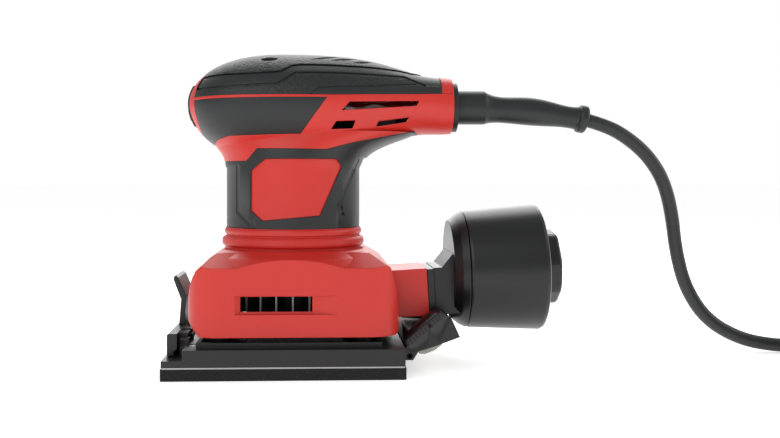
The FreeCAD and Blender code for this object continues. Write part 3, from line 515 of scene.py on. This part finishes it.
def naturalSpline(t, values):  # a smooth line through the values, with straight ends
    count = len(t)
    gap = np.diff(t)
    left = np.eye(count)
    right = np.zeros(count)
    for i in range(1, count - 1):
        left[i, i - 1:i + 2] = gap[i - 1], 2 * (gap[i - 1] + gap[i]), gap[i]
        right[i] = 6 * ((values[i + 1] - values[i]) / gap[i] - (values[i] - values[i - 1]) / gap[i - 1])
    bend = np.linalg.solve(left, right)

    def at(x):
        k = np.clip(np.searchsorted(t, x) - 1, 0, count - 2)
        a = (t[k + 1] - x) / gap[k]
        b = (x - t[k]) / gap[k]
        curve = ((a ** 3 - a) * bend[k] + (b ** 3 - b) * bend[k + 1]) * gap[k] ** 2 / 6
        return a * values[k] + b * values[k + 1] + curve
    return at


def headForm(off, look=headLook):
    stations = []
    for angle in look["noseAngles"]:
        reach = math.sin(math.radians(angle))
        side = (1 - reach ** look["profilePower"]) ** (1 / look["profilePower"])
        plan = (1 - reach ** look["planPower"]) ** (1 / look["planPower"])
        stations.append((look["noseStart"] - (look["noseLength"] - off) * reach,
                         (look["rise"] - off) * side, (look["drop"] - off) * side,
                         (look["half"] - off) * plan))
    stations += [(x, rise - off, drop - off, half - off) for x, rise, drop, half in look["rear"]]
    table = np.array(stations)
    length = np.concatenate([[0], np.cumsum(np.linalg.norm(np.diff(table, axis=0), axis=1))])
    x, rise, drop, half = table.T
    lift = np.where(x > look["tailMid"], 0.5 * (rise - drop), 0.0)
    lines = [naturalSpline(length, v) for v in (x, rise, drop, half, lift)]
    rows = []
    for t in np.linspace(0, length[-1], look["rows"]):
        px, up, down, wide, mid = (float(line(t)) for line in lines)
        row = []
        for j in range(look["around"]):
            angle = 2 * math.pi * (j + 0.5) / look["around"]
            high = (up - mid) if math.sin(angle) > 0 else (down + mid)
            row.append((px, wide * math.cos(angle), look["middle"] + mid + high * math.sin(angle)))
        rows.append(row)
    return rings("head_form", rows)


def outsideOf(tool, off):  # what of the tool lies more than that far out of the head
    return combine(tool, "DIFFERENCE", headForm(off))


def lens(start, end, width, count=9):  # a leaf between two points
    a, b = Vector(start), Vector(end)
    side = Vector((-(b - a).y, (b - a).x)).normalized()
    edge, back = [], []
    for i in range(count):
        bulge = side * (0.5 * width * math.sin(math.pi * i / count))
        edge.append(tuple(a.lerp(b, i / count) + bulge))
        back.append(tuple(b.lerp(a, i / count) - bulge))
    return edge + back


def crosses(outline, x, z):  # is the point inside the outline
    inside = False
    for (x0, z0), (x1, z1) in zip(outline, outline[1:] + outline[:1]):
        if (z0 > z) != (z1 > z) and x < x0 + (z - z0) / (z1 - z0) * (x1 - x0):
            inside = not inside
    return inside


def makeTopGrip(look):
    beyond = look["beyond"]
    above = look["middle"] + beyond
    holeX, holeY = look["recessPlace"]
    halfX, halfY = look["recessHalf"]
    grip = combine(headForm(0.0), "DIFFERENCE", headForm(look["skin"]))
    combine(grip, "INTERSECT", prism("zone", topZone, -beyond, beyond))
    palm = palmEdge + [(58.0, 170.0), (-60.0, 170.0), (-60.0, 139.0)]
    lower = grooveLine + [(80.0, 136.0), (80.0, 120.0), (-60.0, 120.0), (-60.0, 133.8)]
    below = thinLine + [(80.0, 137.6), (80.0, 120.0), (9.0, 120.0)]
    band = palmEdge + [(75.0, 143.4), (75.0, 136.4)] + grooveLine[::-1] + [(-60.0, 133.8), (-60.0, 139.0)]
    cuts = [("band", band, look["stepDepth"]),
            ("groove", strip(grooveLine, look["grooveWidth"]), look["grooveDepth"]),
            ("thin", strip(thinLine, look["thinWidth"]), look["thinDepth"]),
            ("palm_edge", strip(palmEdge, look["edgeWidth"]), look["edgeDepth"])]
    tools = [outsideOf(prism(name, outline, -beyond, beyond), depth) for name, outline, depth in cuts]
    for side in (-1, 1):
        for (x0, y0), (x1, y1) in slashes:
            leaf = lens((x0, side * y0), (x1, side * y1), look["slashWidth"])
            tools.append(outsideOf(prism("slash", leaf, look["cutFrom"], above, "Z"), look["slashDepth"]))
        oval = [(holeX + halfX * c, side * holeY + halfY * s) for c, s in circle(1.0, 24)]
        tools.append(outsideOf(prism("hole", oval, look["cutFrom"], above, "Z"), look["recessDepth"]))
    combine(grip, "DIFFERENCE", *tools)
    smoothed(grip, 24)
    grip.name = "top_grip_skin"
    grip.data.materials.clear()
    for material in (smoothRubber, grainRubber, paintedShadeBlack):
        grip.data.materials.append(material)
    # faces in the screw recesses take the near-black painted shade; the rest is smooth or grained rubber
    margin = look["recessMargin"]
    for face in grip.data.polygons:
        x, y, z = face.center / mm
        grained = crosses(palm, x, z) or (crosses(lower, x, z) and not crosses(below, x, z))
        inHole = math.hypot((x - holeX) / (halfX + margin), (abs(y) - holeY) / (halfY + margin)) < 1.0
        face.material_index = 2 if inHole and z > look["recessAbove"] else int(grained)
    settlePiece(grip, "housing", "grip_rubber", "top_grip")


makeTopGrip(headLook)
print("top grip made")


# column grip, with its raised front panel
panelLook = {"depth": 0.7, "radius": 34.0, "top": 101.5, "lowest": 66.0, "flareFrom": 96.0, "flare": 2.4,
             "around": 160, "outerRadius": 45.0, "outerAround": 40, "lineWidth": 1.5, "lineDepth": 0.15,
             "beyond": 60.0}
panelZone = [(-25.0, 98.0), (-25.0, 75.0), (-17.5, 68.6), (-17.5, 60.0), (22.8, 60.0), (22.8, 69.0),
             (25.6, 73.5), (22.6, 77.6), (31.5, 101.5), (31.5, 108.0), (-25.0, 108.0)]
panelLines = [[(-26.2, 99.0), (-26.2, 75.0), (-17.6, 67.2)], [(32.0, 100.5), (22.2, 77.6), (25.2, 72.4)]]


def sleeveOutside(depth, look):  # everything round the column, down to that depth in the grip
    radius = look["radius"] - depth
    levels = ((look["lowest"], radius), (look["flareFrom"], radius), (look["top"], radius + look["flare"]))
    core = rings("core", [[(x, y, z) for x, y in circle(r, look["around"])] for z, r in levels])
    outer = circle(look["outerRadius"], look["outerAround"])
    return combine(prism("sleeve", outer, look["lowest"] + 0.5, look["top"] - 0.1, "Z"), "DIFFERENCE", core)


def makeColumnGrip(look):
    grip = copyOf("column_grip")
    beyond = look["beyond"]
    around = combine(sleeveOutside(look["depth"], look), "DIFFERENCE",
                     prism("panel", panelZone, -beyond, beyond))
    lines = [combine(sleeveOutside(look["depth"] + look["lineDepth"], look), "INTERSECT",
                     prism("line", strip(line, look["lineWidth"]), -beyond, beyond)) for line in panelLines]
    combine(grip, "DIFFERENCE", around, *lines)
    smoothed(grip, 24)
    grip.name = "column_grip_skin"
    paint(grip, smoothRubber)
    settlePiece(grip, "housing", "grip_rubber", "column_grip")


makeColumnGrip(panelLook)
print("column grip made")


# turned, bent and plain pieces
def lathe(name, outline, count=96):  # closed (radius, height) outline turned about Z
    verts = [(x, y, z) for r, z in outline for x, y in circle(r, count)]
    faces = []
    for i in range(len(outline)):
        a, b = i * count, (i + 1) % len(outline) * count
        faces += [(a + j, a + (j + 1) % count, b + (j + 1) % count, b + j) for j in range(count)]
    return turnOut(addPiece(name, verts, faces))


def tube(name, points, radius, count=14):  # round rod along a line of points
    line = [Vector(p) for p in points]
    rows = []
    side = Vector((0, 0, 1))
    for i, here in enumerate(line):
        before = line[max(0, i - 1)]
        after = line[min(len(line) - 1, i + 1)]
        along = (after - before).normalized()
        across = along.cross(side).normalized()
        upward = across.cross(along)
        rows.append([tuple(here + (across * math.cos(t) + upward * math.sin(t)) * radius)
                     for t in (2 * math.pi * j / count for j in range(count))])
    return rings(name, rows)


def block(name, low, high):
    (x0, y0, z0), (x1, y1, z1) = low, high
    return prism(name, [(x0, y0), (x1, y0), (x1, y1), (x0, y1)], z0, z1, "Z")


def join(name, *pieces):  # several closed shells in one mesh, each keeping its finish
    mesh = bpy.data.meshes.new(name)
    work = bmesh.new()
    materials = []
    for piece in pieces:
        first = len(work.faces)
        work.from_mesh(piece.data)
        work.faces.ensure_lookup_table()
        for material in piece.data.materials:
            if material not in materials:
                materials.append(material)
        for face in work.faces[first:]:
            face.material_index = materials.index(piece.data.materials[face.material_index])
    work.to_mesh(mesh)
    work.free()
    for material in materials:
        mesh.materials.append(material)
    joined = bpy.data.objects.new(name, mesh)
    bpy.context.scene.collection.objects.link(joined)
    discard(*pieces)
    return joined


# cooling fan: the keys of its look are the inputs of its blade tree, Turn in degrees
fanLook = {"Blades": 30, "Inner": 21.6, "Outer": 37.5, "Bottom": 27.0, "Top": 38.6, "Thick": 0.8,
           "Turn": 7.2}
fanPlate = [(3.6, 29.0), (9.0, 29.0), (9.0, 38.2), (20.4, 38.2), (20.4, 26.0), (22.0, 26.0), (22.0, 38.2),
            (37.4, 38.2), (37.4, 39.95), (3.6, 39.95)]  # hub, inner sleeve and top plate in one outline


def fanFinish():
    finish = Finish("fan_plastic")
    x, y = finish.axis("X"), finish.axis("Y")
    paintedTipHighlight = (x * x + y * y).math("SQRT").above(0.0371, 0.0004)  # painted highlight: pale at the blades' outer edges, where light catches them
    patches = finish.noise(0.01)
    dust = finish.mix(patches, (0.018, 0.018, 0.019), (0.034, 0.034, 0.034))
    finish.set(Base_Color=finish.mix(paintedTipHighlight, dust, (0.5, 0.5, 0.49)), Roughness=patches * 0.2 + 0.38,
               Normal=finish.softEdge(0.0002))
    return finish.material


def bladeTree(material):
    tree = bpy.data.node_groups.new("fan_blades", "GeometryNodeTree")
    tree.interface.new_socket("Geometry", in_out="INPUT", socket_type="NodeSocketGeometry")
    for name, value in fanLook.items():
        kind = "NodeSocketInt" if isinstance(value, int) else "NodeSocketFloat"
        tree.interface.new_socket(name, in_out="INPUT", socket_type=kind)
    tree.interface.new_socket("Geometry", in_out="OUTPUT", socket_type="NodeSocketGeometry")
    source = tree.nodes.new("NodeGroupInput")
    get = {socket.name: Value(tree, socket) for socket in source.outputs if socket.name}
    size = addNode(tree, "ShaderNodeCombineXYZ", feed={
        "X": get["Outer"] - get["Inner"], "Y": get["Thick"], "Z": get["Top"] - get["Bottom"]})
    place = addNode(tree, "ShaderNodeCombineXYZ", feed={
        "X": (get["Outer"] + get["Inner"]) * 0.5, "Z": (get["Top"] + get["Bottom"]) * 0.5})
    cube = addNode(tree, "GeometryNodeMeshCube", feed={"Size": size})
    blade = addNode(tree, "GeometryNodeTransform", feed={"Geometry": cube, "Translation": place})
    index = addNode(tree, "GeometryNodeInputIndex")
    angle = index * (2 * math.pi) / get["Blades"] + get["Turn"] * (math.pi / 180)
    turn = addNode(tree, "ShaderNodeCombineXYZ", feed={"Z": angle})
    points = addNode(tree, "GeometryNodePoints", feed={"Count": get["Blades"]})
    spread = addNode(tree, "GeometryNodeInstanceOnPoints", feed={
        "Points": points, "Instance": blade, "Rotation": turn})
    both = addNode(tree, "GeometryNodeJoinGeometry", feed={"Geometry": [get["Geometry"], spread]})
    real = addNode(tree, "GeometryNodeRealizeInstances", feed={"Geometry": both})
    painted = addNode(tree, "GeometryNodeSetMaterial", feed={"Geometry": real, "Material": material})
    result = tree.nodes.new("NodeGroupOutput")
    tree.links.new(painted.socket, result.inputs[0])
    return tree


def makeFan(look):
    finish = fanFinish()
    fan = lathe("fan_piece", fanPlate)
    paint(fan, finish)
    modifier = fan.modifiers.new("blades", "NODES")
    modifier.node_group = bladeTree(finish)
    for socket in modifier.node_group.interface.items_tree:
        if socket.in_out == "INPUT" and socket.name in look:
            value = look[socket.name]
            isLength = socket.name not in ("Blades", "Turn")
            modifier[socket.identifier] = mm * value if isLength else value
    settle(fan)
    settlePiece(fan, "rotor", "black_plastic", "cooling_fan")


makeFan(fanLook)


# canister end cap with eight flats: its rows are (radius, distance along the canister's axis)
capLook = {"start": (66.5, 0.0, 44.7), "tilt": 1.6, "sides": 8, "pointsPerSide": 7, "turn": 12.0,
           "flatsOver": 16.0, "flatShare": 0.955}
capRows = [(15.4, 53.6), (15.4, 58.45), (17.2, 58.45), (18.75, 58.8), (18.75, 65.2), (17.9, 66.2),
           (12.5, 66.3), (11.8, 65.9), (4.0, 65.9)]


def makeCap(look):
    rows = []
    tilt = math.radians(look["tilt"])
    startX, startY, startZ = look["start"]
    count = look["sides"] * look["pointsPerSide"]
    flat = math.pi / look["sides"]
    for radius, along in capRows:
        row = []
        for j in range(count):
            angle = 2 * math.pi * j / count
            bend = (angle + math.radians(look["turn"])) % (2 * flat) - flat
            reach = radius
            if radius > look["flatsOver"]:
                reach = min(radius, radius * look["flatShare"] / math.cos(bend))
            up, across = reach * math.sin(angle), reach * math.cos(angle)
            row.append((startX + along * math.cos(tilt) - up * math.sin(tilt), startY + across,
                        startZ + along * math.sin(tilt) + up * math.cos(tilt)))
        rows.append(row)
    cap = smoothed(rings("end_cap", rows), 12)
    paint(cap, darkPlastic)
    settlePiece(cap, "barrel", "black_plastic", "canister_cap")


makeCap(capLook)
print("fan and cap made")


# wires seen through the side openings, with a near-black sheet of painted shade behind them
wireLook = {"radius": 1.15, "card": ((17.5, -0.4, 112.8), (57.5, 0.4, 122.0)), "clipCentres": (28.0, 52.5),
            "clipHalf": 2.2, "clipY": (-12.6, -9.2), "clipZ": (123.6, 126.2), "patchShade": 0.85,
            "colours": {"white": (0.7, 0.7, 0.68), "red": (0.6, 0.03, 0.02)}}
wireRoutes = {
    "white": [(66.0, -4.0, 128.5), (58.0, -6.5, 126.6), (48.0, -9.0, 125.6), (40.0, -11.0, 126.8),
              (33.0, -11.4, 125.2), (26.0, -10.4, 126.5), (14.0, -10.4, 131.0), (-14.0, -8.8, 131.0),
              (-32.0, -4.0, 128.5)],
    "red": [(66.0, 4.0, 128.5), (57.0, 0.0, 127.6), (50.0, -6.0, 127.0), (45.0, -9.6, 125.0),
            (39.5, -10.8, 123.9), (34.0, -8.0, 126.0), (26.0, 4.0, 129.0), (14.0, 9.8, 131.6),
            (-14.0, 8.8, 131.0), (-32.0, 4.0, 128.5)]}


def curved(points, steps=6):  # smooth line through the points
    line = [Vector(p) for p in points]
    line = [line[0]] + line + [line[-1]]
    smooth = []
    for a, b, c, d in zip(line, line[1:], line[2:], line[3:]):
        for i in range(steps):
            t = i / steps
            smooth.append(0.5 * (2 * b + (c - a) * t + (2 * a - 5 * b + 4 * c - d) * t * t
                                 + (3 * b - a - 3 * c + d) * t ** 3))
    return [tuple(p) for p in smooth + [line[-1]]]


def makeWires(look):
    pieces = []
    for name, colour in look["colours"].items():
        wire = smoothed(tube(name + "_wire", curved(wireRoutes[name]), look["radius"]), 60)
        paint(wire, plastic(name + "_wire", colour, dimmed(colour, look["patchShade"]),
                            rough=0.35, grain=0.0006, grainDepth=0.00002, edge=0.0002))
        pieces.append(wire)
    # a near-black sheet behind the wires: painted shade standing in for the dark inside the head
    card = block("painted_shade_sheet", *look["card"])
    paint(card, paintedShadeBlack)
    half = look["clipHalf"]
    (y0, y1), (z0, z1) = look["clipY"], look["clipZ"]
    clips = [block("clip", (x - half, y0, z0), (x + half, y1, z1)) for x in look["clipCentres"]]
    for clip in clips:
        paint(clip, steel)
    settlePiece(join("wires", *pieces, card, *clips), "housing", "cord_rubber", "lead_wires")


makeWires(wireLook)


# mains plug: rows of (x, share of width, share of height)
plugLook = {"width": 11.9, "height": 7.9, "middle": 29.0, "around": 64, "squareness": 0.6}
plugRows = [(286.05, 0.33, 0.5), (287.0, 0.42, 0.62), (288.6, 0.42, 0.62), (289.0, 0.34, 0.5),
            (290.0, 0.34, 0.5), (290.4, 0.46, 0.68), (292.0, 0.46, 0.68), (292.4, 0.38, 0.56),
            (293.4, 0.38, 0.56), (293.8, 0.52, 0.74), (296.5, 0.6, 0.8), (300.0, 0.74, 0.88),
            (303.0, 0.86, 0.94), (304.0, 0.82, 0.9), (305.0, 0.9, 0.95), (306.0, 0.86, 0.91),
            (307.0, 0.94, 0.97), (308.0, 0.9, 0.93), (309.0, 0.98, 0.99), (312.0, 1.0, 1.0),
            (318.6, 1.0, 1.0), (319.7, 0.95, 0.93)]


def makePlug(look):
    def softened(value):
        return math.copysign(abs(value) ** look["squareness"], value)
    rows = []
    for x, wide, high in plugRows:
        width, height = look["width"] * wide, look["height"] * high
        rows.append([(x, width * softened(c), look["middle"] + height * softened(s))
                     for c, s in circle(1.0, look["around"])])
    plug = smoothed(rings("plug", rows), 24)
    paint(plug, smoothRubber)
    settlePiece(plug, "housing", "grip_rubber", "plug_body")


makePlug(plugLook)


# tie round the coil: its loops are (distance from the coil's centre, height)
tieLook = {"angle": 205.0, "width": 7.0,
           "outside": [(28.0, 0.02), (27.7, 2.0), (27.7, 18.6), (31.5, 22.5), (48.5, 22.5), (52.3, 18.6),
                       (52.3, 2.0), (52.0, 0.02)],
           "inside": [(28.5, 0.3), (28.6, 2.0), (28.6, 18.2), (31.8, 21.6), (48.2, 21.6), (51.4, 18.2),
                      (51.4, 2.0), (51.5, 0.3)]}


def makeTie(look):
    angle = math.radians(look["angle"])
    out = Vector((math.cos(angle), math.sin(angle), 0))
    along = Vector((-out.y, out.x, 0))
    verts = []
    for side in (-0.5, 0.5):
        for r, z in look["outside"] + look["inside"]:
            centre = Vector((*cordLook["coilCentre"], z))
            verts.append(tuple(centre + out * r + along * (side * look["width"])))
    n = len(look["outside"])
    faces = []
    for i in range(n):
        k = (i + 1) % n
        faces += [(i, k, 2 * n + k, 2 * n + i), (n + i, 3 * n + i, 3 * n + k, n + k),
                  (i, n + i, n + k, k), (2 * n + i, 2 * n + k, 3 * n + k, 3 * n + i)]
    tie = smoothed(turnOut(addPiece("coil_tie", verts, faces)), 50)
    paint(tie, grainRubber)
    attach(tie, "housing")


makeTie(tieLook)
print("wires, plug and tie made")


# rear lever, with chamfered and ridged sides
leverLook = {"start": (52.7, 14.2), "end": (70.5, 28.6), "half": 40.0, "wide": 5.0, "steep": 0.4,
             "before": 3.0, "after": 0.8, "over": 3.0, "above": 4.0,
             "ridges": 13, "ridgeWidth": 0.55, "ridgeDepth": 0.35, "ridgeInset": 0.5}


def wedge(look, side, low, high, inner, drop):  # wedge over one side edge of the lever's upper face
    a, b = (Vector((x, z)) for x, z in (look["start"], look["end"]))
    along = (b - a).normalized()
    up = Vector((-along.y, along.x))
    outer = look["half"] + look["over"]
    section = [(inner, 0.0), (inner, look["above"]), (outer, look["above"]),
               (outer, -(outer - inner) * look["steep"])]
    verts = []
    for t in (low, high):
        for y, h in section:
            spot = a + along * t + up * (h - drop)
            verts.append((spot.x, side * y, spot.y))
    faces = [(0, 1, 2, 3), (7, 6, 5, 4)] + [(i, i + 4, (i + 1) % 4 + 4, (i + 1) % 4) for i in range(4)]
    return turnOut(addPiece("wedge", verts, faces))


def makeRearLever(look):
    lever = copyOf("rear_lever")
    length = (Vector(look["end"]) - Vector(look["start"])).length
    inner = look["half"] - look["wide"]
    tools = [wedge(look, side, -look["before"], length + look["after"], inner, 0.0) for side in (-1, 1)]
    combine(lever, "DIFFERENCE", *tools)
    places = [(i + 0.5) * length / look["ridges"] for i in range(look["ridges"])]
    grooves = [wedge(look, side, t, t + look["ridgeWidth"], inner + look["ridgeInset"], look["ridgeDepth"])
               for side in (-1, 1) for t in places]
    combine(lever, "DIFFERENCE", *grooves)
    smoothed(lever, 24)
    lever.name = "rear_lever_piece"
    paint(lever, darkPlastic)
    settlePiece(lever, "rear_clamp", "black_plastic", "rear_lever")


makeRearLever(leverLook)
print("rear lever made")


# floor and light
stageLook = {"floorWidth": 30.0, "floorColour": (0.93, 0.93, 0.93), "patchShade": 0.99, "patchSize": 0.2,
             "glow": 0.56, "sky": 0.46, "shownSky": 1.0}
lampAim = (0.02, 0.0, 0.08)
lamps = {"key": {"place": (-0.45, -0.9, 0.75), "size": 1.0, "power": 3.6},
         "back": {"place": (0.1, 1.0, 0.75), "size": 1.3, "power": 12.0},
         "side": {"place": (1.1, 0.1, 0.5), "size": 0.8, "power": 3.0}}


def makeStage(look):
    half = 0.5 * look["floorWidth"] / mm
    floor = addPiece("floor", [(-half, -half, 0), (half, -half, 0), (half, half, 0), (-half, half, 0)],
                     [(0, 1, 2, 3)])
    finish = Finish("floor_paper", Roughness=0.9, Emission_Color=(1, 1, 1, 1),
                    Emission_Strength=look["glow"])
    colour = look["floorColour"]
    patches = finish.noise(look["patchSize"])
    finish.set(Base_Color=finish.mix(patches, dimmed(colour, look["patchShade"]), colour))
    paint(floor, finish.material)
    world = bpy.data.worlds.new("studio")
    world.use_nodes = True
    tree = world.node_tree
    background = tree.nodes["Background"]
    background.inputs["Color"].default_value = (1, 1, 1, 1)
    seen = addNode(tree, "ShaderNodeLightPath", out="Is Camera Ray")
    strength = seen * (look["shownSky"] - look["sky"]) + look["sky"]
    tree.links.new(strength.socket, background.inputs["Strength"])
    bpy.context.scene.world = world
    bpy.context.scene.view_settings.view_transform = "Standard"


def makeLamp(name, look):
    data = bpy.data.lights.new(name, "AREA")
    data.shape = "DISK"
    data.size = look["size"]
    data.energy = look["power"]
    lamp = bpy.data.objects.new(name, data)
    lamp.location = look["place"]
    aim = Vector(lampAim) - Vector(look["place"])
    lamp.rotation_euler = aim.to_track_quat("-Z", "Y").to_euler()
    bpy.context.scene.collection.objects.link(lamp)


makeStage(stageLook)
for lampName, look in lamps.items():
    makeLamp(lampName, look)
print("floor and lamps placed")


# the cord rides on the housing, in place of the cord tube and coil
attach(cord, "housing")
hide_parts("cord_tube", "cord_coil")
